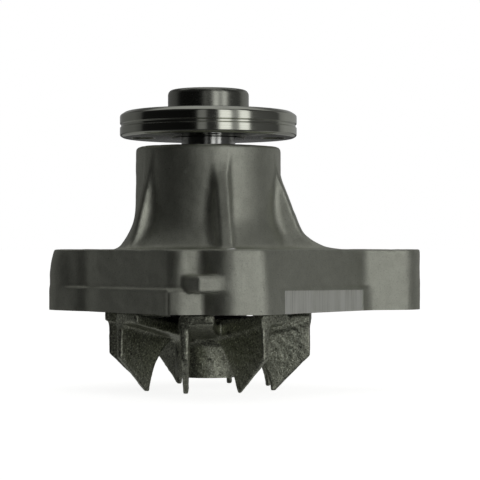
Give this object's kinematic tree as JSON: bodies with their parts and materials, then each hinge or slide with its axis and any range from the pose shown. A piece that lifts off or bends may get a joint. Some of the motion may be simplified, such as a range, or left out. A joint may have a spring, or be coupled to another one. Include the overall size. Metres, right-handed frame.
{
  "type": "automotive water pump",
  "caption": "Engine water pump with a ribbed cast housing, turned pulley hub, shaft bearing, face seal and an open bladed impeller.",
  "frame": {"origin": "on the shaft axis, in the plane of the gasket face", "axes": "+Z along the shaft towards the pulley hub; -Y is the front, where the round bolt boss and the milled strip are; +X is towards the long ear"},
  "size_m": [0.131, 0.1086, 0.1047],
  "materials": {
    "cast_aluminium": "sand-cast and tumbled, matte",
    "turned_steel": "fine turned, semi-bright",
    "cast_iron": "rough sand-cast",
    "bearing_steel": "ground",
    "ball_steel": "polished",
    "pressed_steel": "pressed stainless sheet",
    "spring_steel": "drawn stainless wire",
    "black_rubber": "moulded nitrile",
    "carbon": "lapped carbon graphite",
    "ceramic": "lapped alumina",
    "cage_nylon": "moulded nylon"
  },
  "bodies": {
    "housing": {"pump_housing": "cast_aluminium", "bearing_outer_ring": "bearing_steel", "upper_bearing_seal": "black_rubber", "lower_bearing_seal": "black_rubber", "seal_cup": "pressed_steel", "seal_bellows": "black_rubber", "seal_spring": "spring_steel", "spring_seat": "pressed_steel", "spring_retainer": "pressed_steel", "carbon_ring": "carbon"},
    "rotor": {"pulley_hub": "turned_steel", "bearing_shaft": "bearing_steel", "impeller": "cast_iron", "mating_ring": "ceramic", "mating_ring_boot": "black_rubber", "slinger": "pressed_steel"},
    "upper_row": {"upper_balls": "ball_steel", "upper_ball_cage": "cage_nylon"},
    "lower_row": {"lower_balls": "ball_steel", "lower_ball_cage": "cage_nylon"}
  },
  "joints": [
    {"name": "shaft_spin", "type": "hinge", "parent": "housing", "child": "rotor", "pos_m": [0, 0, 0], "axis": [0, 0, 1], "continuous": true},
    {"name": "upper_row_roll", "type": "hinge", "parent": "housing", "child": "upper_row", "pos_m": [0, 0, 0], "axis": [0, 0, 1], "continuous": true},
    {"name": "lower_row_roll", "type": "hinge", "parent": "housing", "child": "lower_row", "pos_m": [0, 0, 0], "axis": [0, 0, 1], "continuous": true}
  ],
  "couplings": [
    {"joint": "upper_row_roll", "follows": "shaft_spin", "ratio": 0.33694},
    {"joint": "lower_row_roll", "follows": "shaft_spin", "ratio": 0.33694}
  ]
}
